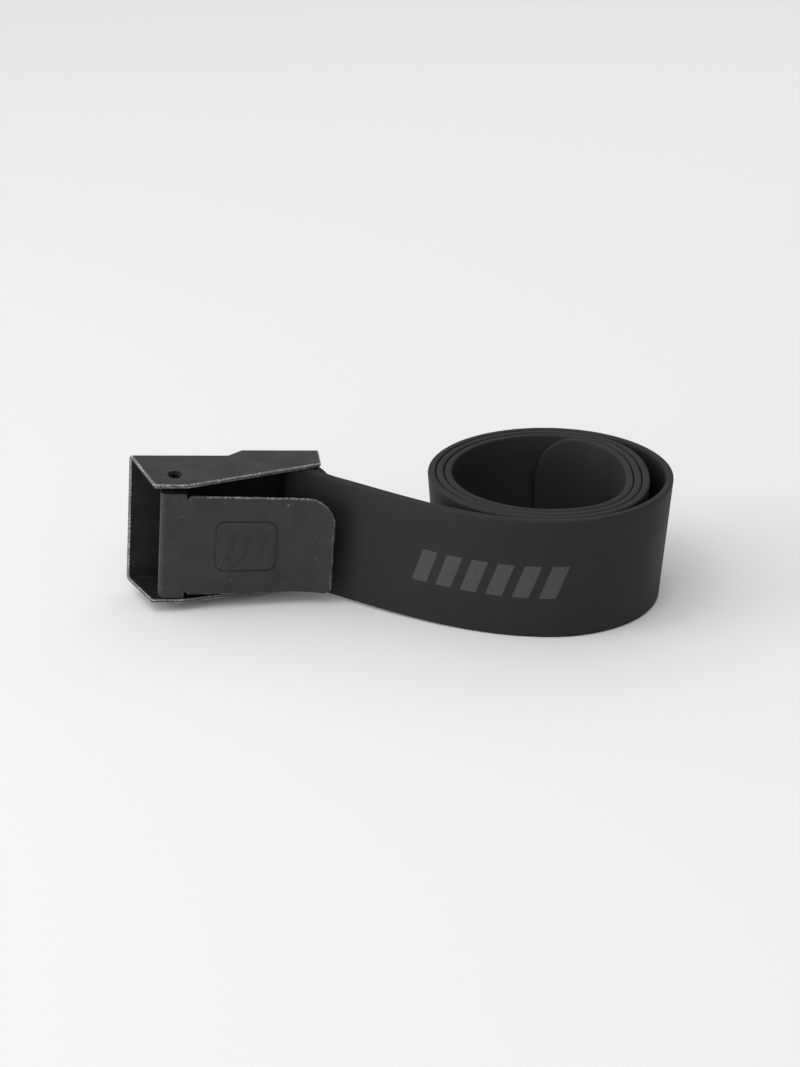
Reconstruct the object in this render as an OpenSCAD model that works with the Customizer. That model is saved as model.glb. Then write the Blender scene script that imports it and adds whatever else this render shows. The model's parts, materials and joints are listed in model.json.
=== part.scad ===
// Weight belt: a rolled elastomer strap looped on the cross bar of an over-centre cam buckle.
// Units are millimetres. Z is up, X runs along the belt, the buckle opens towards -Y.

/* [Strap] */
// width of the strap
strap_width = 50.8; // [40:0.4:60]
// thickness of the strap
strap_thick = 3; // [2:0.5:4]
// radius of the strap's free corners
free_end_radius = 16; // [4:1:22]

/* [Coil] */
// centreline radius where the lead meets the coil
coil_radius = 46.95; // [40:0.1:60]
// radial step from one turn to the next
coil_pitch = 3.3; // [3.1:0.1:5]
// angle wound from the front tangent to the free end
coil_angle = 1266; // [400:1:1500]
// how far the inner turns stand in from the outer one on the right
coil_slack = 6.2; // [0:0.1:8]
// outward lean of the rolled strap
coil_lean = 4.5; // [0:0.5:8]
// coil centre along X
coil_x = 59.90; // [40:0.1:80]
// coil centre along Y
coil_y = 0.82; // [-10:0.1:10]

/* [Lead] */
// heading of the strap away from the buckle, towards the front
exit_angle = 42; // [10:1:50]
// length of the doubled strap behind the cross bar
tail_length = 19; // [14:1:30]
// pull of the lead's curve at the buckle
lead_start = 38; // [8:1:50]
// pull of the lead's curve at the coil
lead_end = 30.5; // [10:1:50]

/* [Buckle pose] */
// buckle corner along X
buckle_x = -107.74; // [-130:0.1:-90]
// buckle corner along Y
buckle_y = -2.69; // [-20:0.1:20]
// buckle centre height
buckle_z = 32.66; // [28:0.1:40]
// forward lean of the buckle
buckle_lean = 3.5; // [0:0.5:15]
// slope of the buckle down to its right end
buckle_slope = 3.5; // [0:0.5:8]
// turn of the buckle seen from above
buckle_turn = 8.4; // [0:0.5:20]

/* [Buckle frame] */
// length of the folded steel frame
frame_length = 75.4; // [60:0.2:100]
// outside height across the two cheeks
frame_height = 56.2; // [52:0.2:64]
// depth of the cheeks at the mouth
cheek_depth = 24.6; // [18:0.5:30]
// depth of the cheeks at the strap end
cheek_end_depth = 7.8; // [6:0.2:14]
// inward slope of each cheek, away from the base
cheek_toe = 5; // [0:0.5:6]
// setback of the cheeks' front corner from the mouth
cheek_rake = 8.8; // [4:0.2:14]
// rearward step of the base behind the cross bar
base_step = 4.2; // [2:0.1:6]
// sheet thickness of frame and lever
sheet = 1.6; // [1.2:0.1:2.5]
// cross bar radius
bar_radius = 2; // [1.5:0.1:3]

/* [Lever] */
// pivot distance from the mouth
pivot_u = 17; // [14:0.1:22]
// pivot height over the base's rear face
pivot_v = 16.7; // [11:0.1:17]
// pivot pin radius
pin_radius = 2.9; // [2:0.1:4]
// wall of the rolled pin
pin_wall = 0.6; // [0.5:0.1:1.5]
// running clearance between pin and lever
pin_clearance = 0.06; // [0.02:0.01:0.1]
// face of the lever over the base's rear face
lever_face = 24.6; // [20:0.1:27]
// reach of the lever tip from the mouth
lever_reach = 79.6; // [70:0.2:95]
// height across the lever's ears
lever_height = 45.4; // [44:0.2:52]
// how far the lever has dropped along its pin
lever_drop = 0.8; // [0:0.1:0.8]
// height of the lever plate at its tip
lever_tip_height = 40.4; // [38:0.5:50]
// outward flare of the lever tip
tip_flare = 3.6; // [0:0.1:6]
// length of the grip panel along the lever
panel_length = 24.8; // [10:0.2:30]
// height of the grip panel
panel_height = 22.2; // [10:0.2:30]

/* [Hidden] */
$fn = 48;
// gap between the strap's inner face and the cross bar, and between the strap's two layers
loop_clearance = 0.1;
layer_gap = 0.2;
// distance from the cross bar to the frame's end
bar_edge = 8.5;
bar_u = frame_length - bar_edge;
bar_v = -base_step + sheet + bar_radius + loop_clearance + strap_thick + layer_gap;
bar_socket = sheet / 2;
// the base steps back over step_run, from step_start
step_start = 39;
step_run = 5.8;
base_end_u = step_start + step_run;

// ---- small vector helpers ----
function unit(v) = v / norm(v);
function mix(a, b, k) = a * (1 - k) + b * k;
function smooth(k) = k * k * (3 - 2 * k);
function turn_x(v, a) = [v[0], v[1] * cos(a) - v[2] * sin(a), v[1] * sin(a) + v[2] * cos(a)];
function turn_y(v, a) = [v[0] * cos(a) + v[2] * sin(a), v[1], v[2] * cos(a) - v[0] * sin(a)];
function turn_z(v, a) = [v[0] * cos(a) - v[1] * sin(a), v[0] * sin(a) + v[1] * cos(a), v[2]];
function buckle_dir(v) = turn_z(turn_y(turn_x(v, buckle_lean), buckle_slope), buckle_turn);
function buckle_point(v) = buckle_dir(v) + [buckle_x, buckle_y, buckle_z];

// rounded corner at b, between a and c, as a list of points
function corner(a, b, c, r, n = 6) =
    let (p = unit(a - b), q = unit(c - b))
    let (half = acos(p * q) / 2, reach = r / tan(half), mid = b + unit(p + q) * r / sin(half))
    let (s = b + p * reach - mid, e = b + q * reach - mid)
    [for (i = [0:n]) mid + r * unit(mix(s, e, i / n))];

// outline of a closed polygon with one radius for each corner
function rounded(pts, radii) =
    [for (i = [0:len(pts) - 1])
        let (a = pts[(i + len(pts) - 1) % len(pts)], b = pts[i], c = pts[(i + 1) % len(pts)])
        each (radii[i] > 0 ? corner(a, b, c, radii[i]) : [b])];

// outline of a bent sheet from its centreline
function left_of(p, i) =
    let (a = p[max(i - 1, 0)], b = p[min(i + 1, len(p) - 1)], d = unit(b - a))
    [-d[1], d[0]];
function sheet_outline(p, t) = concat(
    [for (i = [0:len(p) - 1]) p[i] + left_of(p, i) * t / 2],
    [for (i = [len(p) - 1:-1:0]) p[i] - left_of(p, i) * t / 2]);

module on_buckle() {
    translate([buckle_x, buckle_y, buckle_z])
        rotate([buckle_lean, buckle_slope, buckle_turn])
            children();
}

// ---- strap ----
loop_radius = bar_radius + loop_clearance + strap_thick / 2;
layer_offset = (strap_thick + layer_gap) / 2;
taper_length = 9;
// the bond that joins the two layers behind the cross bar
bond_start = 10.5;
bond_length = 7.5;
bond_inset = 2;
bond_thick = 1;
along = [cos(exit_angle), -sin(exit_angle)];
front = [-sin(exit_angle), -cos(exit_angle)];
function loop_offset(d) = layer_offset
    + (loop_radius - layer_offset) * (0.5 + 0.5 * cos(180 * min(d, taper_length) / taper_length));
function loop_point(d, side) =
    let (p = [bar_u, -bar_v] + along * d + front * side * loop_offset(d))
    buckle_point([p[0], p[1], 0]);
function wrap_point(a) =
    let (p = [bar_u, -bar_v] + (along * cos(a) - front * sin(a)) * loop_radius)
    buckle_point([p[0], p[1], 0]);
loop_path = concat(
    [for (d = [tail_length, 14, 9, 7, 5.4, 3.8, 2, 0]) loop_point(d, -1)],
    [for (a = [105:15:255]) wrap_point(a)],
    [for (d = [0, 2, 3.8, 5.4, 7, 9, 14]) loop_point(d, 1)]);

lead_from = loop_point(tail_length, 1);
lead_dir = buckle_dir([along[0], along[1], 0]);
lead_flat = unit([lead_dir[0], lead_dir[1]]);
rest_height = strap_width / 2 * cos(coil_lean) + strap_thick / 2 * sin(coil_lean);
// half the angle over which the inner turns stand in
slack_span = 70;
function slack(a) =
    let (d = (a + 90) % 360 - 180)
    a > 270 && abs(d) < slack_span ? coil_slack * pow(cos(90 * d / slack_span), 2) : 0;
function coil_point(a) =
    let (r = coil_radius - coil_pitch * a / 360 - slack(a))
    [coil_x + r * sin(a), coil_y - r * cos(a), rest_height];
lead_steps = 20;
lead_to = coil_point(0);
// how much of the buckle's own slope the lead keeps
lead_droop = 0.2;
function lead_xy(k) =
    let (p0 = [lead_from[0], lead_from[1]], p3 = [lead_to[0], lead_to[1]])
    let (p1 = p0 + lead_flat * lead_start, p2 = p3 - [lead_end, 0])
    p0 * pow(1 - k, 3) + p1 * 3 * k * pow(1 - k, 2) + p2 * 3 * k * k * (1 - k) + p3 * pow(k, 3);
lead_span = norm([lead_to[0] - lead_from[0], lead_to[1] - lead_from[1]]);
lead_slope = lead_dir[2] / norm([lead_dir[0], lead_dir[1]]) * lead_droop;
function lead_z(k) =
    rest_height + (lead_from[2] - rest_height) * (1 - smooth(k))
    + lead_slope * lead_span * k * pow(1 - k, 2);
lead_path = [for (i = [0:lead_steps - 1])
    let (k = i / lead_steps, p = lead_xy(k)) [p[0], p[1], lead_z(k)]];
coil_step = 7.5;
// distances from the free end at which its rounded corners are cut across
end_reach = [14, 11, 8, 5.5, 3.5, 1.8, 0.6, 0];
deg_per_mm = 180 / PI / (coil_radius - coil_pitch * coil_angle / 360);
coil_path = concat(
    [for (a = [0:coil_step:coil_angle - free_end_radius * deg_per_mm]) coil_point(a)],
    [for (d = end_reach) coil_point(coil_angle - d * deg_per_mm)]);
path = concat(loop_path, lead_path, coil_path);
last = len(path) - 1;
count_loop = len(loop_path);
function blend_at(i) = smooth(min(max((i - count_loop) / lead_steps, 0), 1));
function tangent(i) = unit(path[min(i + 1, last)] - path[max(i - 1, 0)]);
function up_at(i) =
    let (t = tangent(i), out = unit([t[1], -t[0], 0]))
    let (rolled = out * sin(coil_lean) + [0, 0, cos(coil_lean)])
    let (w = mix(buckle_dir([0, 0, 1]), rolled, blend_at(i)))
    unit(w - t * (w * t));
function end_inset(d) = d >= free_end_radius ? 0
    : free_end_radius - sqrt(pow(free_end_radius, 2) - pow(free_end_radius - d, 2));
function half_width(i) = strap_width / 2
    - (i > last - len(end_reach) ? end_inset(end_reach[i - last + len(end_reach) - 1]) : 0);
function section(i) =
    let (t = tangent(i), w = up_at(i), n = cross(t, w) * strap_thick / 2, h = half_width(i))
    [path[i] - w * h + n, path[i] + w * h + n, path[i] + w * h - n, path[i] - w * h - n];

module strap() {
    color("#222224") union() {
        polyhedron(
            points = [for (i = [0:last]) each section(i)],
            faces = concat(
                [[0, 1, 2], [0, 2, 3]],
                [for (i = [0:last - 1], j = [0:3])
                    let (a = 4 * i + j, b = 4 * i + (j + 1) % 4)
                    each [[a, a + 4, b + 4], [a, b + 4, b]]],
                [[4 * last + 2, 4 * last + 1, 4 * last], [4 * last + 3, 4 * last + 2, 4 * last]]));
        on_buckle()
            translate([bar_u, -bar_v, 0])
                rotate([0, 0, -exit_angle])
                    translate([bond_start, -bond_thick / 2, bond_inset - strap_width / 2])
                        cube([bond_length, bond_thick, strap_width - 2 * bond_inset]);
    }
}

// ---- folded channel shared by the frame and the lever's ears ----
fold_outer = 2.2;
fold_inner = 0.6;
// length by which a cutting shape runs past what it cuts
cut_past = 2;

module along_x(length) {
    rotate([90, 0, 90]) linear_extrude(length) children();
}

// upper half of a folded channel, its side leaning in by toe; the two halves overlap at the middle
half_overlap = 1;
module half_channel(depth, height, toe) {
    top = height / 2;
    inside = top - sheet / cos(toe);
    polygon(rounded(
        [[0, -half_overlap], [0, top], [-depth, top - depth * tan(toe)], [-depth, inside - depth * tan(toe)],
            [-sheet, inside - sheet * tan(toe)], [-sheet, -half_overlap]],
        [0, fold_outer, 0, 0, fold_inner, 0]));
}

module both_halves() {
    children();
    mirror([0, 0, 1]) children();
}

// ---- frame ----
toe_slope = tan(cheek_toe);
cheek_run = cheek_depth + base_step + cut_past;
// half heights of the frame, outside and inside its cheeks, at a distance in front of the base
function outer_half(v) = frame_height / 2 - v * toe_slope;
function inner_half(v) = outer_half(v) - sheet / cos(cheek_toe);
module frame_channel() {
    half_channel(cheek_run, frame_height, cheek_toe);
}

bar_length = 2 * (inner_half(bar_v) + bar_socket);
// the cheeks' front edge is straight over this length, then tapers to the strap end
cheek_flat = 13;
cheek_flat_end = cheek_rake + cheek_flat;
behind_base = base_step + cut_past;
step_slope = base_step / step_run;

module cheek_outline() {
    polygon(rounded(
        [[0, behind_base], [0, 0], [cheek_rake, -cheek_depth], [cheek_flat_end, -cheek_depth],
            [frame_length, -cheek_end_depth], [frame_length, behind_base]],
        [0, 0, 1.5, 6, 1.2, 0]));
}

module buckle_frame() {
    color("#333336") on_buckle() difference() {
        intersection() {
            both_halves() {
                along_x(step_start) frame_channel();
                multmatrix([[1, 0, 0, step_start], [step_slope, 1, 0, 0],
                    [step_slope * toe_slope, 0, 1, 0]])
                    along_x(step_run) frame_channel();
                translate([base_end_u, base_step, base_step * toe_slope])
                    along_x(frame_length - base_end_u) frame_channel();
            }
            linear_extrude(frame_height + cut_past, center = true) cheek_outline();
        }
        translate([pivot_u, -pivot_v, 0])
            cylinder(h = frame_height + cut_past, r = pin_radius, center = true);
        strap_bar_shape();
    }
}

module strap_bar_shape() {
    translate([bar_u, -bar_v, 0])
        cylinder(h = bar_length, r = bar_radius, center = true);
}

module strap_bar() {
    color("#3a3a3d") on_buckle() strap_bar_shape();
}

// ---- lever ----
// fold between the lever's plate and its cam web
bend_r = 1.8;
bend_u = 13.9;
bend_steps = 8;
plate_v = lever_face - sheet / 2;
// the web slopes towards the pivot and ends in the toothed cam edge
web_angle = 10.5;
web_length = 17.3;
// the tip flares outward on one arc
flare_run = 15;
flare_r = (pow(flare_run, 2) + pow(tip_flare, 2)) / (2 * tip_flare);
flare_angle = asin(flare_run / flare_r);
flare_line = [for (i = [bend_steps:-1:0])
    let (a = flare_angle * i / bend_steps)
    [lever_reach - flare_run + flare_r * sin(a), -plate_v - flare_r * (1 - cos(a))]];
bend_line = [for (i = [0:bend_steps])
    let (a = (90 + web_angle) * i / bend_steps)
    [bend_u - bend_r * sin(a), bend_r * (1 - cos(a)) - plate_v]];
bend_half = bend_steps / 2;
web_top = bend_line[bend_steps];
web_tip = web_top + web_length * [sin(web_angle), cos(web_angle)];
plate_line = concat(flare_line, bend_line);
web_line = concat([for (i = [bend_half:bend_steps]) bend_line[i]], [web_tip]);
// the ears stay this far inside the plate's bend
ear_inset = 0.2;
ear_corner_r = 3.4;
// ears: outer radius round the pivot, and where they end along the plate
ear_r = 5.4;
ear_end = 21.4;
ear_start = bend_u - bend_r - sheet / 2 + ear_inset;
ear_depth = 22;
ear_neck_v = pivot_v + 3.8;
// relief notch between each ear and the plate's free edge
relief_width = 1.4;
relief_depth = 2.2;
edge_inset = 1.2;
tip_past = 0.2;
top_corner_r = 10;
bottom_corner_r = 4;
notch_r = 0.5;
half_lever = lever_height / 2;
half_tip = lever_tip_height / 2;
notch_end = ear_end + relief_width;
web_half = half_lever - sheet - edge_inset;
tooth_count = 9;
tooth_pitch = 2 * web_half / (tooth_count + 1);
tooth_side = 1.5;
// grip panel pressed into the plate, with slanted bars inside its groove
panel_u = 45.2;
panel_r = 4.2;
groove_width = 0.7;
groove_depth = 0.4;
bar_depth = 0.3;
bar_width = 2;
bar_slant = -14;
bar_count = 3;

module lever_outline() {
    polygon(rounded(
        [[bend_u - bend_r - sheet, -half_lever], [ear_end, -half_lever],
            [ear_end, relief_depth - half_lever], [notch_end, relief_depth - half_lever],
            [notch_end, edge_inset - half_lever], [lever_reach + tip_past, -half_tip],
            [lever_reach + tip_past, half_tip], [notch_end, half_lever - edge_inset],
            [notch_end, half_lever - relief_depth], [ear_end, half_lever - relief_depth],
            [ear_end, half_lever], [bend_u - bend_r - sheet, half_lever]],
        [0, 0, notch_r, notch_r, 0, bottom_corner_r, top_corner_r, 0, notch_r, notch_r, 0, 0]));
}

module lever_sheet() {
    intersection() {
        linear_extrude(lever_height, center = true) polygon(sheet_outline(plate_line, sheet));
        rotate([90, 0, 0])
            linear_extrude(lever_face + tip_flare + cut_past)
                lever_outline();
    }
}

module lever_ears() {
    intersection() {
        translate([ear_start, -lever_face, 0]) both_halves()
            along_x(ear_end - ear_start)
                mirror([1, 0]) half_channel(ear_depth, lever_height, 0);
        linear_extrude(lever_height + cut_past, center = true)
            polygon(concat(
                corner([ear_start, -pivot_v], [ear_start, -lever_face], [ear_end, -lever_face],
                    ear_corner_r),
                [[ear_end, -lever_face], [ear_end, -ear_neck_v]],
                [for (a = [-25:20:180]) [pivot_u + ear_r * cos(a), ear_r * sin(a) - pivot_v]]));
    }
}

module cam_web() {
    difference() {
        linear_extrude(2 * web_half, center = true) polygon(sheet_outline(web_line, sheet));
        for (i = [1:tooth_count])
            translate([web_tip[0], web_tip[1], i * tooth_pitch - web_half])
                rotate([0, 0, -web_angle])
                    rotate([0, 45, 0])
                        cube([tooth_side, sheet, tooth_side], center = true);
    }
}

module panel_outline(inset) {
    x = panel_length / 2 - inset;
    y = panel_height / 2 - inset;
    r = panel_r - inset;
    polygon(rounded([[-x, -y], [x, -y], [x, y], [-x, y]], [r, r, r, r]));
}

module grip_panel() {
    translate([panel_u, -lever_face, 0]) rotate([90, 0, 0]) {
        linear_extrude(2 * groove_depth, center = true) difference() {
            panel_outline(0);
            panel_outline(groove_width);
        }
        linear_extrude(2 * bar_depth, center = true)
            for (i = [1:bar_count])
                translate([(i - (bar_count + 1) / 2) * panel_length / (bar_count + 1), 0])
                    rotate(bar_slant)
                        square([bar_width, panel_height / 2], center = true);
    }
}

module cam_lever() {
    color("#3b3b3f") on_buckle() translate([0, 0, -lever_drop]) difference() {
        union() {
            lever_sheet();
            lever_ears();
            cam_web();
        }
        grip_panel();
        translate([pivot_u, -pivot_v, 0])
            cylinder(h = lever_height + cut_past, r = pin_radius + pin_clearance, center = true);
    }
}

// ---- rolled pin with an open seam ----
pin_recess = 0.45;
pin_length = 2 * (outer_half(pivot_v) - pin_recess);
pin_seam = 0.8;

module pivot_pin() {
    color("#2c2c2e") on_buckle()
        translate([pivot_u, -pivot_v, 0])
            difference() {
                cylinder(h = pin_length, r = pin_radius, center = true);
                cylinder(h = frame_height + cut_past, r = pin_radius - pin_wall, center = true);
                translate([0, pin_radius, 0])
                    cube([pin_seam, 2 * pin_radius, frame_height + cut_past], center = true);
            }
}

strap();
buckle_frame();
strap_bar();
cam_lever();
pivot_pin();
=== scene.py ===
import json
import math

import bmesh
import bpy
from mathutils import Matrix, Vector


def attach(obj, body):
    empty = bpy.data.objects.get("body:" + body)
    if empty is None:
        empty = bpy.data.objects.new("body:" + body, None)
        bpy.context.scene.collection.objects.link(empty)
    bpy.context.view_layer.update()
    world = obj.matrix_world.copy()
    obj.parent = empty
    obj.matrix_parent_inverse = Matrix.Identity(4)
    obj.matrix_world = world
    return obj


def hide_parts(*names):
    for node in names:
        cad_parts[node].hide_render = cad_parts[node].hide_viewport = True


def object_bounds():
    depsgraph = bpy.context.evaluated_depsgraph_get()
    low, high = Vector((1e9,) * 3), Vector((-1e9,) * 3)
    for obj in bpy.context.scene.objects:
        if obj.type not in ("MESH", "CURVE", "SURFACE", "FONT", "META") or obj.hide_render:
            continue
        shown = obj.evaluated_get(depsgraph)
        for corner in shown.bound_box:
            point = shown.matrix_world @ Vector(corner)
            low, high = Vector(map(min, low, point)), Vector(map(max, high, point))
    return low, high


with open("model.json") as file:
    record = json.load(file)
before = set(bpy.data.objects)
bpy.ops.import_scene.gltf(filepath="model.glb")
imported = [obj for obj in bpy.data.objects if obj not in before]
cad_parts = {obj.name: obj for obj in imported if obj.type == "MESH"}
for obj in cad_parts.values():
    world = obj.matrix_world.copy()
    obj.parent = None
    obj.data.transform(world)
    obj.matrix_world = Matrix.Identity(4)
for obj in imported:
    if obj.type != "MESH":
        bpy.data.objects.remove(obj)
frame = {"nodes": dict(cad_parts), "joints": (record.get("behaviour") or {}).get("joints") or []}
cad_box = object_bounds()

MM = 0.001

# ---- driving dimensions, in millimetres ----
STRAP_WIDTH = 50.8
STRAP_THICK = 3.0
STRAP_EDGE_R = 0.75
FREE_END_R = 16.0
BAR_R = 2.0
LOOP_CLEARANCE = 0.1
LAYER_GAP = 0.2
TAIL_LENGTH = 19.0
# past TAIL_FULL behind the bar the tail's half thickness is pared by up to TAIL_PARED,
# and each of its edges is drawn in TAIL_NARROWED times as far
TAIL_FULL = 7.0
TAIL_PARED = 1.0
TAIL_NARROWED = 2.6
TAIL_CORNER = 2.0
LOOP_TAPER = 9.0
EXIT_ANGLE = math.radians(42)
LEAD_START = 38.0
LEAD_END = 30.5
LEAD_DROOP = 0.2
COIL_CENTRE = (59.90, 0.82)
COIL_R = 46.95
COIL_PITCH = 3.3
COIL_ANGLE = 1266.0
COIL_SLACK = 6.2
# turns past SLACK_FROM are drawn in by up to COIL_SLACK, within SLACK_SPAN degrees of the coil's right
SLACK_SPAN = 70.0
SLACK_FROM = 270
COIL_LEAN = math.radians(4.5)
SHEET = 1.6
# from the lever's pivot to the cross bar: along the buckle, and towards its back
BAR_FROM_PIVOT = (49.9, 14.0)


# ---- the buckle's own axes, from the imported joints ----
def joint(name):
    return next(j for j in frame["joints"] if j["name"] == name)


bar = Vector(joint("buckle_swivel")["pos_m"]) / MM
pivot = Vector(joint("lever_hinge")["pos_m"]) / MM
buckle_up = Vector(joint("buckle_swivel")["axis"]).normalized()
turn_back = Matrix.Rotation(-math.atan2(BAR_FROM_PIVOT[1], BAR_FROM_PIVOT[0]), 3, buckle_up)
buckle_along = turn_back @ (bar - pivot).normalized()
buckle_back = buckle_up.cross(buckle_along)


def in_buckle(point):
    """A point in metres as (along, back, up) in millimetres from the lever's pivot."""
    d = point / MM - pivot
    return d.dot(buckle_along), d.dot(buckle_back), d.dot(buckle_up)


# ---- small helpers ----
def link(obj):
    bpy.context.scene.collection.objects.link(obj)
    return obj


def mix(a, b, k):
    return a * (1 - k) + b * k


def smooth(k):
    k = min(max(k, 0.0), 1.0)
    return k * k * (3 - 2 * k)


def steps(start, stop, count):
    return [start + (stop - start) * i / count for i in range(count + 1)]


# ---- materials ----
class Shader:
    """Builds one Principled material. Its patterns read object coordinates or the strap's own map."""

    def __init__(self, name, uv=None):
        self.material = bpy.data.materials.new(name)
        self.material.use_nodes = True
        self.nodes = self.material.node_tree.nodes
        self.links = self.material.node_tree.links
        self.surface = self.nodes["Principled BSDF"]
        if uv:
            source = self.nodes.new("ShaderNodeUVMap")
            source.uv_map = uv
            self.coords = source.outputs["UV"]
        else:
            self.coords = self.nodes.new("ShaderNodeTexCoord").outputs["Object"]

    def join(self, source, target):
        self.links.new(source, target)

    def stretched(self, scale):
        node = self.nodes.new("ShaderNodeMapping")
        node.inputs["Scale"].default_value = scale
        self.join(self.coords, node.inputs["Vector"])
        return node.outputs["Vector"]

    def noise(self, size_mm, detail=2.0, stretch=None, roughness=0.5):
        """Noise whose features are about size_mm across."""
        node = self.nodes.new("ShaderNodeTexNoise")
        node.inputs["Scale"].default_value = 1 / (size_mm * MM)
        node.inputs["Detail"].default_value = detail
        node.inputs["Roughness"].default_value = roughness
        self.join(self.stretched(stretch) if stretch else self.coords, node.inputs["Vector"])
        return node.outputs["Fac"]

    def spread(self, value, low, high, to_low=0.0, to_high=1.0):
        node = self.nodes.new("ShaderNodeMapRange")
        node.interpolation_type = "SMOOTHSTEP"
        node.inputs["From Min"].default_value = low
        node.inputs["From Max"].default_value = high
        node.inputs["To Min"].default_value = to_low
        node.inputs["To Max"].default_value = to_high
        self.join(value, node.inputs["Value"])
        return node.outputs["Result"]

    def times(self, a, b):
        node = self.nodes.new("ShaderNodeMath")
        node.operation = "MULTIPLY"
        self.join(a, node.inputs[0])
        self.join(b, node.inputs[1])
        return node.outputs[0]

    def blend(self, fac, a, b):
        """Colour a where fac is 0 and b where it is 1. Either is a colour or a socket."""
        node = self.nodes.new("ShaderNodeMix")
        node.data_type = "RGBA"
        self.join(fac, node.inputs["Factor"])
        for value, socket in ((a, node.inputs["A"]), (b, node.inputs["B"])):
            if isinstance(value, tuple):
                socket.default_value = (*value, 1)
            else:
                self.join(value, socket)
        return node.outputs["Result"]

    def bump(self, height, depth_mm, strength=1.0, under=None):
        node = self.nodes.new("ShaderNodeBump")
        node.inputs["Distance"].default_value = depth_mm * MM
        node.inputs["Strength"].default_value = strength
        self.join(height, node.inputs["Height"])
        if under:
            self.join(under, node.inputs["Normal"])
        return node.outputs["Normal"]

    def finish(self, colour, roughness, normal, specular=0.5):
        self.join(colour, self.surface.inputs["Base Color"])
        self.join(roughness, self.surface.inputs["Roughness"])
        self.join(normal, self.surface.inputs["Normal"])
        self.surface.inputs["Specular IOR Level"].default_value = specular
        return self.material


def coated_steel(name, dark, light):
    """Satin black coating on steel: cloudy patches, fine grain and a few pale specks."""
    s = Shader(name)
    clouds = s.noise(9.0, detail=4.0)
    grain = s.noise(0.35, detail=2.0)
    specks = s.spread(s.noise(0.8, detail=1.0), 0.66, 0.72)
    scuffs = s.spread(s.noise(4.0, detail=5.0, roughness=0.7), 0.50, 0.66)
    colour = s.blend(s.spread(clouds, 0.3, 0.7), dark, light)
    colour = s.blend(s.spread(grain, 0.40, 0.75, 0.0, 0.5), colour, tuple(c * 2.2 for c in light))
    colour = s.blend(s.times(specks, scuffs), colour, tuple(c * 7 for c in light))
    roughness = s.spread(clouds, 0.25, 0.75, 0.54, 0.38)
    normal = s.bump(s.noise(2.2, detail=3.0), 0.05, 0.5)
    normal = s.bump(grain, 0.03, 0.9, under=normal)
    return s.finish(colour, roughness, normal, specular=0.42)


def dull_painted_shade_coating(name, dark, light):
    """The same coating on the faces inside the channel: dull, a little dusty, and darker, which is painted
    shade inside the channel.
    """
    s = Shader(name)
    clouds = s.noise(7.0, detail=4.0)
    grain = s.noise(0.35, detail=2.0)
    specks = s.spread(s.noise(0.9, detail=1.0), 0.77, 0.83)
    colour = s.blend(s.spread(clouds, 0.3, 0.7), dark, light)
    colour = s.blend(specks, colour, tuple(c * 6 for c in light))
    roughness = s.spread(clouds, 0.25, 0.75, 0.75, 0.62)
    return s.finish(colour, roughness, s.bump(grain, 0.03, 0.8), specular=0.18)


def worn_edge_and_highlight(name, dark, bright, amount=0.5):
    """A cut or folded edge where the coating is rubbed through to bright specks. Where the dark colour is
    far lighter than the coating, that even pale base is painted highlight on the rounded edge.
    """
    s = Shader(name)
    specks = s.spread(s.noise(0.6, detail=3.0, roughness=0.65), 0.60 - amount / 4, 0.68 - amount / 6)
    patches = s.spread(s.noise(6.0, detail=2.0), 0.32, 0.60, 0.30, 1.0)
    colour = s.blend(s.times(specks, patches), dark, bright)
    roughness = s.spread(specks, 0.0, 1.0, 0.48, 0.34)
    normal = s.bump(s.noise(0.4, detail=2.0), 0.05, 0.8)
    return s.finish(colour, roughness, normal, specular=0.5)


def belt_rubber(name):
    """Matt extruded elastomer: fine grain with faint lengthwise streaks and a dusty bloom."""
    s = Shader(name, uv="strap_map")
    streaks = s.noise(1.4, detail=3.0, stretch=(0.02, 1.0, 1.0))
    bloom = s.noise(26.0, detail=3.0)
    grain = s.noise(0.30, detail=2.0)
    colour = s.blend(s.spread(bloom, 0.3, 0.7), (0.0086, 0.0086, 0.0094), (0.0106, 0.0106, 0.0114))
    colour = s.blend(s.spread(streaks, 0.45, 0.75, 0.0, 0.4), colour, (0.0135, 0.0135, 0.0143))
    colour = s.blend(s.spread(grain, 0.45, 0.75, 0.0, 0.35), colour, (0.020, 0.020, 0.021))
    roughness = s.spread(bloom, 0.3, 0.7, 0.60, 0.70)
    normal = s.bump(streaks, 0.04, 0.35)
    normal = s.bump(grain, 0.03, 0.6, under=normal)
    return s.finish(colour, roughness, normal, specular=0.3)


def print_ink(name):
    """Grey screen print that shows the rubber's grain and small gaps."""
    s = Shader(name)
    grain = s.noise(0.30, detail=2.0)
    gaps = s.spread(s.noise(0.7, detail=3.0), 0.62, 0.70)
    colour = s.blend(s.spread(grain, 0.3, 0.7), (0.040, 0.040, 0.040), (0.055, 0.055, 0.055))
    colour = s.blend(gaps, colour, (0.020, 0.020, 0.020))
    roughness = s.spread(grain, 0.3, 0.7, 0.55, 0.68)
    return s.finish(colour, roughness, s.bump(grain, 0.03, 0.6), specular=0.3)


# ---- strap: one band swept along the loop, the lead and the coil ----
# how finely each stretch is divided, and the degrees between the coil's sections
TAIL_CORNER_STEPS = 6
LAYER_STEPS = 16
WRAP_STEPS = 24
LEAD_STEPS = 60
COIL_STEP = 3
FREE_END_STEPS = 12
EDGE_STEPS = 4
SECTION_SPANS = 6
LOOP_R = BAR_R + LOOP_CLEARANCE + STRAP_THICK / 2
LAYER_OFFSET = (STRAP_THICK + LAYER_GAP) / 2
exit_along = buckle_along * math.cos(EXIT_ANGLE) - buckle_back * math.sin(EXIT_ANGLE)
exit_front = -buckle_along * math.sin(EXIT_ANGLE) - buckle_back * math.cos(EXIT_ANGLE)
rest_height = STRAP_WIDTH / 2 * math.cos(COIL_LEAN) + STRAP_THICK / 2 * math.sin(COIL_LEAN)


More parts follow.
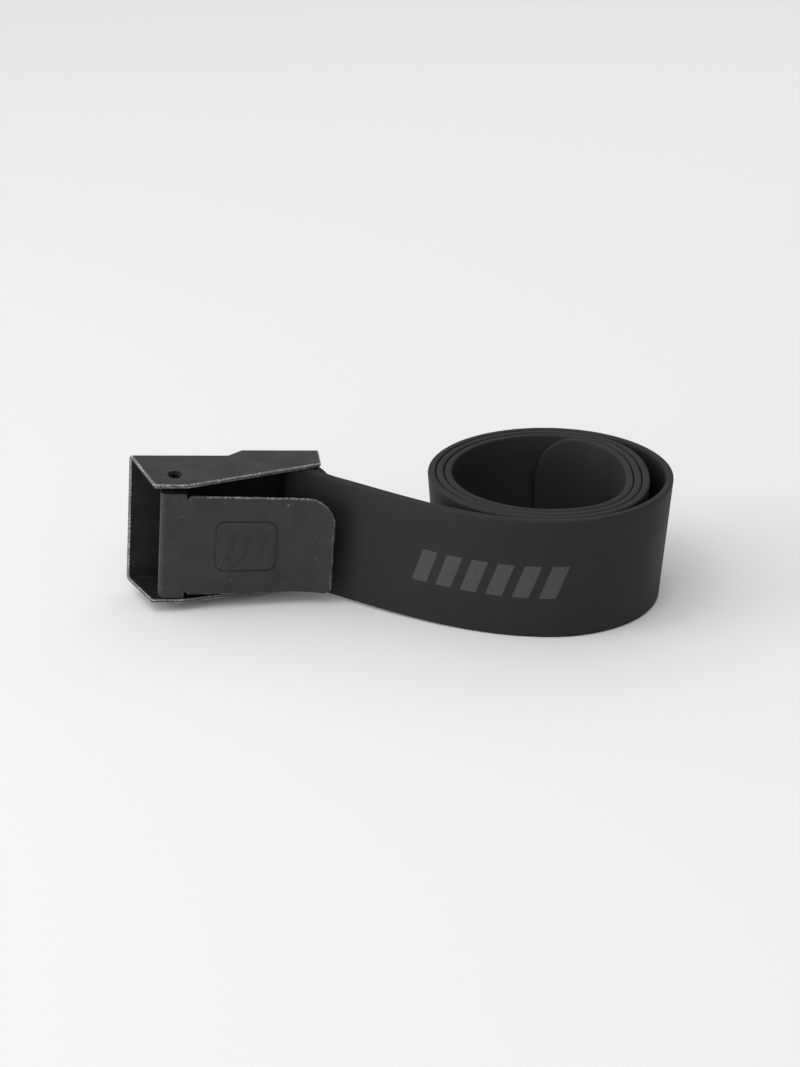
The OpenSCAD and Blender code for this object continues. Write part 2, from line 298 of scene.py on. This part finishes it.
def loop_point(distance, side):
    """A point on the doubled strap, distance behind the bar. side is 1 in front and -1 behind."""
    near = 0.5 + 0.5 * math.cos(math.pi * min(distance, LOOP_TAPER) / LOOP_TAPER)
    offset = LAYER_OFFSET + (LOOP_R - LAYER_OFFSET) * near
    return bar + exit_along * distance + exit_front * side * offset


def tail_thin(distance):
    """How much of the tail's half thickness is pared away, distance behind the bar."""
    return TAIL_PARED * smooth((distance - TAIL_FULL) / (TAIL_LENGTH - TAIL_FULL))


def tail_point(distance):
    """The tail's centre. Its face against the front layer stays straight, so the paring shows behind."""
    return loop_point(distance, -1) + exit_front * tail_thin(distance)


def wrap_point(angle):
    return bar + (exit_along * math.cos(angle) - exit_front * math.sin(angle)) * LOOP_R


def coil_point(degrees):
    off = (degrees + 90) % 360 - 180
    slack = 0.0
    if degrees > SLACK_FROM and abs(off) < SLACK_SPAN:
        slack = COIL_SLACK * math.cos(math.pi / 2 * off / SLACK_SPAN) ** 2
    r = COIL_R - COIL_PITCH * degrees / 360 - slack
    a = math.radians(degrees)
    return Vector((COIL_CENTRE[0] + r * math.sin(a), COIL_CENTRE[1] - r * math.cos(a), rest_height))


def lead_point(k):
    start, stop = loop_point(TAIL_LENGTH, 1), coil_point(0)
    heading = Vector((exit_along.x, exit_along.y, 0)).normalized()
    p0, p3 = Vector((start.x, start.y, 0)), Vector((stop.x, stop.y, 0))
    p1, p2 = p0 + heading * LEAD_START, p3 - Vector((LEAD_END, 0, 0))
    p = p0 * (1 - k) ** 3 + p1 * 3 * k * (1 - k) ** 2 + p2 * 3 * k * k * (1 - k) + p3 * k**3
    slope = exit_along.z / math.hypot(exit_along.x, exit_along.y) * LEAD_DROOP
    p.z = rest_height + (start.z - rest_height) * (1 - smooth(k))
    p.z += slope * (p3 - p0).length * k * (1 - k) ** 2
    return p


def section_axes(tangent, rolled):
    """The strap's up and outward directions where it runs along tangent.

    rolled is 0 at the buckle and 1 in the coil.
    """
    out = Vector((tangent.y, -tangent.x, 0)).normalized()
    upright = out * math.sin(COIL_LEAN) + Vector((0, 0, math.cos(COIL_LEAN)))
    up = mix(buckle_up, upright, rolled)
    up = (up - tangent * up.dot(tangent)).normalized()
    return up, tangent.cross(up)


class Station:
    """One place along the strap: its centre, how far it has turned upright, and its half sizes."""

    def __init__(self, point, rolled, inset=0.0, thin=0.0):
        self.point = point
        self.rolled = rolled
        self.half_width = STRAP_WIDTH / 2 - inset
        self.half_thick = STRAP_THICK / 2 - thin


def free_end_stations(place):
    """Stations up to the strap's rounded free end. place(distance) is the centre, back from that end."""
    made = []
    for a in steps(math.pi / 2, 0, FREE_END_STEPS):
        distance = FREE_END_R * (1 - math.cos(a)) + STRAP_EDGE_R
        made.append(Station(place(distance), 1.0, inset=FREE_END_R * (1 - math.sin(a))))
    for a in steps(0, math.pi / 2, EDGE_STEPS)[1:]:
        back = STRAP_EDGE_R * (1 - math.sin(a))
        thin = STRAP_EDGE_R * (1 - math.cos(a))
        made.append(Station(place(back), 1.0, inset=FREE_END_R + thin, thin=thin))
    return made


def strap_stations():
    """The whole strap in order: the tail, the wrap round the bar, front layer, lead, coil and free end."""
    made = []
    for a in steps(math.pi / 2, 0, TAIL_CORNER_STEPS):
        distance = TAIL_LENGTH - TAIL_CORNER * (1 - math.sin(a))
        inset = TAIL_CORNER * (1 - math.cos(a)) + TAIL_NARROWED * tail_thin(distance)
        made.append(Station(tail_point(distance), 0.0, inset, tail_thin(distance)))
    for d in steps(TAIL_LENGTH - TAIL_CORNER - 1, 0, LAYER_STEPS):
        made.append(Station(tail_point(d), 0.0, TAIL_NARROWED * tail_thin(d), tail_thin(d)))
    made += [Station(wrap_point(a), 0.0) for a in steps(math.pi / 2, math.pi * 1.5, WRAP_STEPS)[1:-1]]
    made += [Station(loop_point(d, 1), 0.0) for d in steps(0, TAIL_LENGTH, LAYER_STEPS)[:-1]]
    made += [Station(lead_point(k), smooth(k)) for k in steps(0, 1, LEAD_STEPS)[:-1]]
    end_r = COIL_R - COIL_PITCH * COIL_ANGLE / 360
    reach = math.degrees((FREE_END_R + STRAP_EDGE_R) / end_r)
    turns = steps(0, COIL_ANGLE - reach, round(COIL_ANGLE / COIL_STEP))[:-1]
    made += [Station(coil_point(a), 1.0) for a in turns]
    made += free_end_stations(lambda d: coil_point(COIL_ANGLE - math.degrees(d / end_r)))
    return made


def ring(half_width, half_thick):
    """Outline of the strap's section as (across, through) points. A thin section keeps rounded edges."""
    r = min(STRAP_EDGE_R, half_thick * 0.98, half_width * 0.98)
    w, t = half_width - r, half_thick - r
    outline = []
    for x, y, start in ((w, t, 0), (-w, t, 90), (-w, -t, 180), (w, -t, 270)):
        for a in steps(start, start + 90, EDGE_STEPS):
            a = math.radians(a)
            outline.append((x + r * math.cos(a), y + r * math.sin(a)))
        if start in (0, 180):
            step_x = -x * 2 / SECTION_SPANS
            side = 1 if y > 0 else -1
            outline += [(x + step_x * i, (t + r) * side) for i in range(1, SECTION_SPANS)]
    return outline


def strap_mesh():
    stations = strap_stations()
    last = len(stations) - 1
    mesh = bpy.data.meshes.new("strap_band")
    bm = bmesh.new()
    uv = bm.loops.layers.uv.new("strap_map")
    rings, lengths, travelled = [], [], 0.0
    for i, station in enumerate(stations):
        before, after = stations[max(i - 1, 0)].point, stations[min(i + 1, last)].point
        tangent = (after - before).normalized()
        up, normal = section_axes(tangent, station.rolled)
        if i:
            travelled += (station.point - stations[i - 1].point).length
        lengths.append(travelled)
        outline = ring(station.half_width, station.half_thick)
        rings.append([bm.verts.new((station.point + up * x + normal * y) * MM) for x, y in outline])
    count = len(rings[0])
    around = [0.0]
    outline = ring(STRAP_WIDTH / 2, STRAP_THICK / 2)
    for a, b in zip(outline, outline[1:] + outline[:1]):
        around.append(around[-1] + math.hypot(b[0] - a[0], b[1] - a[1]))
    for i in range(last):
        for j in range(count):
            k = (j + 1) % count
            face = bm.faces.new((rings[i][j], rings[i + 1][j], rings[i + 1][k], rings[i][k]))
            places = ((i, j), (i + 1, j), (i + 1, j + 1), (i, j + 1))
            for loop, (s, q) in zip(face.loops, places):
                loop[uv].uv = (lengths[s] * MM, around[q] * MM)
    bm.faces.new(rings[0])
    bm.faces.new(rings[last][::-1])
    for face in bm.faces:
        face.smooth = True
    bmesh.ops.recalc_face_normals(bm, faces=bm.faces)
    bm.to_mesh(mesh)
    bm.free()
    return mesh


strap = link(bpy.data.objects.new("strap_band", strap_mesh()))
strap.data.materials.append(belt_rubber("belt_rubber"))
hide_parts("strap")
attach(strap, "belt")


# ---- printed mark: a plain row of slanted bars on the strap's outer face ----
MARK_BARS = 6
# distances along the strap from the coil's start, negative towards the buckle
MARK_START = -57.0
MARK_END = 6.0
MARK_HEIGHT = 14.0
MARK_LOW = -8.0
MARK_SLANT = 5.0
MARK_FILL = 0.62
MARK_PROUD = 0.06
MARK_SUNK = 0.3
MARK_COLUMNS = 6
MARK_ROWS = 6
LEAD_LENGTH_STEPS = 200
lead_marks = steps(0, 1, LEAD_LENGTH_STEPS)
lead_lengths = [0.0]
for a, b in zip(lead_marks, lead_marks[1:]):
    lead_lengths.append(lead_lengths[-1] + (lead_point(b) - lead_point(a)).length)


def outer_place(distance, across):
    """A point on the strap's outer face, and the normal there.

    distance is past the coil's start, negative on the lead, and across is up from the strap's middle.
    """
    if distance >= 0:
        degrees = math.degrees(distance / COIL_R)
        centre, rolled = coil_point(degrees), 1.0
        tangent = (coil_point(degrees + 0.5) - coil_point(degrees)).normalized()
    else:
        wanted = lead_lengths[-1] + distance
        i = next(i for i, length in enumerate(lead_lengths) if length >= wanted)
        part = (wanted - lead_lengths[i - 1]) / (lead_lengths[i] - lead_lengths[i - 1])
        k = mix(lead_marks[i - 1], lead_marks[i], part)
        centre, rolled = lead_point(k), smooth(k)
        tangent = (centre - lead_point(k - 0.01)).normalized()
    up, normal = section_axes(tangent, rolled)
    return centre + up * across + normal * STRAP_THICK / 2, normal


def printed_mark():
    """Each bar is a thin closed slab that follows the strap and stands just proud of it."""
    mesh = bpy.data.meshes.new("printed_mark")
    bm = bmesh.new()
    pitch = (MARK_END - MARK_START - MARK_SLANT) / (MARK_BARS - 1 + MARK_FILL)
    for b in range(MARK_BARS):
        left = MARK_START + b * pitch
        front, back = [], []
        for row in range(MARK_ROWS + 1):
            rise = row / MARK_ROWS
            front.append([])
            back.append([])
            for column in range(MARK_COLUMNS + 1):
                distance = left + MARK_SLANT * rise + pitch * MARK_FILL * column / MARK_COLUMNS
                place, normal = outer_place(distance, MARK_LOW + MARK_HEIGHT * rise)
                front[-1].append(bm.verts.new((place + normal * MARK_PROUD) * MM))
                back[-1].append(bm.verts.new((place - normal * MARK_SUNK) * MM))
        for r in range(MARK_ROWS):
            for c in range(MARK_COLUMNS):
                for grid in (front, back):
                    bm.faces.new((grid[r][c], grid[r][c + 1], grid[r + 1][c + 1], grid[r + 1][c]))
        rim = [(0, c) for c in range(MARK_COLUMNS)]
        rim += [(r, MARK_COLUMNS) for r in range(MARK_ROWS)]
        rim += [(MARK_ROWS, c) for c in range(MARK_COLUMNS, 0, -1)]
        rim += [(r, 0) for r in range(MARK_ROWS, 0, -1)]
        for (r0, c0), (r1, c1) in zip(rim, rim[1:] + rim[:1]):
            bm.faces.new((front[r0][c0], back[r0][c0], back[r1][c1], front[r1][c1]))
    bmesh.ops.recalc_face_normals(bm, faces=bm.faces)
    bm.to_mesh(mesh)
    bm.free()
    return mesh


mark = link(bpy.data.objects.new("printed_mark", printed_mark()))
mark.data.materials.append(print_ink("print_ink"))
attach(mark, "belt")


# ---- steel parts: the CAD shapes with their sheet edges rounded ----
SHARP = math.radians(50)
SMOOTH_UNDER = math.radians(40)
MERGE_UNDER = 0.002
FLAT_WITHIN = math.radians(0.5)
ROUND_SEGMENTS = 3
# material slots, in the order of each piece's materials
COATING, ROUNDED, CUT, INNER = range(4)
# a face looks along an axis where that part of its normal is over FACING, and leans that way over LEANING
FACING = 0.7
LEANING = 0.5
# the pivot's height over the base's rear face, the base's step backwards, and room left over the base
PIVOT_V = 16.7
BASE_STEP = 4.2
BASE_ROOM = 1.0
# measured from the pivot: round its hole, past the lever's ears, and round the grip panel
PIVOT_HOLE = 4.0
PAST_EARS = 4.7
PANEL_ALONG = (14.0, 42.5)
PANEL_HALF = 13.5


def rounded_copy(node, name, radius, materials, is_cut=None, is_inner=None):
    """A copy of a CAD node with its sharp edges rounded.

    Where is_cut is given, only the edges between its cut faces and the rest are rounded.
    """
    mesh = frame["nodes"][node].data.copy()
    mesh.name = name
    mesh.materials.clear()
    for layer in list(mesh.uv_layers):
        mesh.uv_layers.remove(layer)
    if "custom_normal" in mesh.attributes:
        mesh.attributes.remove(mesh.attributes["custom_normal"])
    bm = bmesh.new()
    bm.from_mesh(mesh)
    bmesh.ops.remove_doubles(bm, verts=bm.verts, dist=MERGE_UNDER * MM)
    bmesh.ops.dissolve_limit(bm, angle_limit=FLAT_WITHIN, verts=bm.verts, edges=bm.edges)
    for face in bm.faces:
        face.material_index = CUT if is_cut and is_cut(face) else COATING
    sharp = []
    for edge in bm.edges:
        if edge.is_manifold and edge.calc_face_angle(0) > SHARP:
            slots = [face.material_index for face in edge.link_faces]
            if not is_cut or slots[0] != slots[1]:
                sharp.append(edge)
    bmesh.ops.bevel(
        bm, geom=sharp, offset=radius * MM, offset_type="OFFSET",
        segments=ROUND_SEGMENTS, profile=0.5, affect="EDGES", clamp_overlap=False, material=ROUNDED)
    bmesh.ops.triangulate(bm, faces=[f for f in bm.faces if len(f.verts) > 4])
    for face in bm.faces:
        face.smooth = True
        if is_inner and face.material_index == COATING and is_inner(face):
            face.material_index = INNER
    bm.to_mesh(mesh)
    bm.free()
    mesh.set_sharp_from_angle(angle=SMOOTH_UNDER)
    for material in materials:
        mesh.materials.append(material)
    piece = link(bpy.data.objects.new(name, mesh))
    weighted = piece.modifiers.new("flat_faces", "WEIGHTED_NORMAL")
    weighted.keep_sharp = True
    return piece


def local_normal(face):
    """A face's normal as its parts along the buckle, towards its back, and up."""
    n = face.normal
    return n.dot(buckle_along), n.dot(buckle_back), n.dot(buckle_up)


def frame_cut(face):
    """True on the frame's sheet edges: its two ends, and the cheeks' front edges."""
    along, _, up = local_normal(face)
    place = in_buckle(face.calc_center_median())
    on_cheek = place[1] < PIVOT_V - SHEET - BASE_ROOM
    in_hole = math.hypot(place[0], place[1]) < PIVOT_HOLE
    return not in_hole and (abs(along) > FACING or (abs(up) < LEANING and on_cheek))


def frame_inner(face):
    """True on the faces that look into the channel."""
    _, back, up = local_normal(face)
    place = in_buckle(face.calc_center_median())
    if abs(up) > FACING:
        return up * place[2] < 0
    return back < -LEANING and place[1] > PIVOT_V - SHEET - BASE_ROOM - BASE_STEP


def lever_cut(face):
    """True on the lever's sheet edges round the plate, past the ears and outside the grip panel."""
    _, back, _ = local_normal(face)
    place = in_buckle(face.calc_center_median())
    in_panel = PANEL_ALONG[0] < place[0] < PANEL_ALONG[1] and abs(place[2]) < PANEL_HALF
    return place[0] > PAST_EARS and abs(back) < LEANING and not in_panel


frame_shell = rounded_copy("buckle_frame", "frame_shell", 0.55, (
    coated_steel("frame_coating", (0.0085, 0.0085, 0.0100), (0.0125, 0.0125, 0.0140)),
    # painted highlight: the frame's rounded edges get an even pale grey base under the rubbed-through
    # specks, which stands in for the light caught along the rounded edge
    worn_edge_and_highlight("frame_edges_painted_highlight", (0.085, 0.085, 0.086), (0.42, 0.42, 0.42), 0.5),
    worn_edge_and_highlight("frame_cut", (0.011, 0.011, 0.012), (0.10, 0.10, 0.10), 0.1),
    # painted shade: the faces inside the channel get a darker, dull coating that stands in for the shade
    # there
    dull_painted_shade_coating("frame_inner", (0.0075, 0.0075, 0.0090), (0.0125, 0.0125, 0.0143)),
), frame_cut, frame_inner)
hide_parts("buckle_frame")
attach(frame_shell, "buckle")

lever_plate = rounded_copy("cam_lever", "lever_plate", 0.3, (
    coated_steel("lever_coating", (0.0095, 0.0095, 0.0118), (0.0145, 0.0145, 0.0172)),
    worn_edge_and_highlight("lever_edges", (0.022, 0.022, 0.025), (0.34, 0.34, 0.34), 0.3),
    worn_edge_and_highlight("lever_cut", (0.030, 0.030, 0.032), (0.50, 0.50, 0.50), 0.45),
), lever_cut)
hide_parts("cam_lever")
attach(lever_plate, "lever")

pin_tube = rounded_copy("pivot_pin", "pin_tube", 0.15, (
    coated_steel("pin_coating", (0.007, 0.007, 0.008), (0.011, 0.011, 0.012)),
    worn_edge_and_highlight("pin_edges", (0.012, 0.012, 0.013), (0.08, 0.08, 0.08), 0.2),
))
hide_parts("pivot_pin")
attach(pin_tube, "buckle")

cross_bar = rounded_copy("strap_bar", "cross_bar", 0.2, (
    coated_steel("bar_coating", (0.010, 0.010, 0.011), (0.016, 0.016, 0.017)),
    worn_edge_and_highlight("bar_edges", (0.020, 0.020, 0.021), (0.20, 0.20, 0.21), 0.3),
))
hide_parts("strap_bar")
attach(cross_bar, "buckle")


# ---- floor, lights and camera ----
ROOM_BRIGHT_SIDE = (-0.75, -0.45, 0.48)
ROOM_LEVELS = (0.14, 1.26)
CAMERA_PLACE = (0.00096, -0.92059, 0.42794)
CAMERA_DOWN = math.radians(23.68)
CAMERA_LENS = 84.5


def studio_floor():
    mesh = bpy.data.meshes.new("floor")
    bm = bmesh.new()
    bmesh.ops.create_circle(bm, cap_ends=True, radius=6.0, segments=64)
    bm.to_mesh(mesh)
    bm.free()
    floor = link(bpy.data.objects.new("floor", mesh))
    material = bpy.data.materials.new("pale_floor")
    material.use_nodes = True
    surface = material.node_tree.nodes["Principled BSDF"]
    surface.inputs["Base Color"].default_value = (0.80, 0.80, 0.80, 1)
    surface.inputs["Roughness"].default_value = 0.9
    surface.inputs["Specular IOR Level"].default_value = 0.1
    mesh.materials.append(material)
    floor.location.z = cad_box[0].z


def softbox(name, place, aim, size, watts):
    data = bpy.data.lights.new(name, "AREA")
    data.shape = "RECTANGLE"
    data.size, data.size_y = size
    data.energy = watts
    light = link(bpy.data.objects.new(name, data))
    light.location = place
    light.rotation_euler = (Vector(aim) - Vector(place)).to_track_quat("-Z", "Y").to_euler()


def studio_lights():
    """A pale room, brighter to the left and in front, with three soft boxes."""
    world = bpy.data.worlds.new("studio")
    world.use_nodes = True
    nodes, links = world.node_tree.nodes, world.node_tree.links
    direction = nodes.new("ShaderNodeTexCoord").outputs["Generated"]
    facing = nodes.new("ShaderNodeVectorMath")
    facing.operation = "DOT_PRODUCT"
    facing.inputs[1].default_value = ROOM_BRIGHT_SIDE
    links.new(direction, facing.inputs[0])
    level = nodes.new("ShaderNodeMapRange")
    level.inputs["From Min"].default_value = -1
    level.inputs["From Max"].default_value = 1
    level.inputs["To Min"].default_value = ROOM_LEVELS[0]
    level.inputs["To Max"].default_value = ROOM_LEVELS[1]
    links.new(facing.outputs["Value"], level.inputs["Value"])
    links.new(level.outputs["Result"], nodes["Background"].inputs["Strength"])
    nodes["Background"].inputs["Color"].default_value = (1, 1, 1, 1)
    bpy.context.scene.world = world
    aim = (0, 0, 0.03)
    softbox("key", (-0.5, -0.7, 1.3), aim, (0.9, 0.7), 3)
    softbox("left", (-1.3, -0.35, 0.45), aim, (0.7, 0.6), 7)
    softbox("back", (0.5, 1.1, 0.9), aim, (1.0, 0.5), 1)


def camera():
    data = bpy.data.cameras.new("camera")
    data.sensor_width = 36
    data.lens = CAMERA_LENS
    data.clip_start, data.clip_end = 0.01, 50
    cam = link(bpy.data.objects.new("camera", data))
    cam.location = CAMERA_PLACE
    cam.rotation_euler = (math.pi / 2 - CAMERA_DOWN, 0, 0)
    bpy.context.scene.camera = cam


bpy.context.scene.view_settings.view_transform = "Standard"
studio_floor()
studio_lights()
camera()
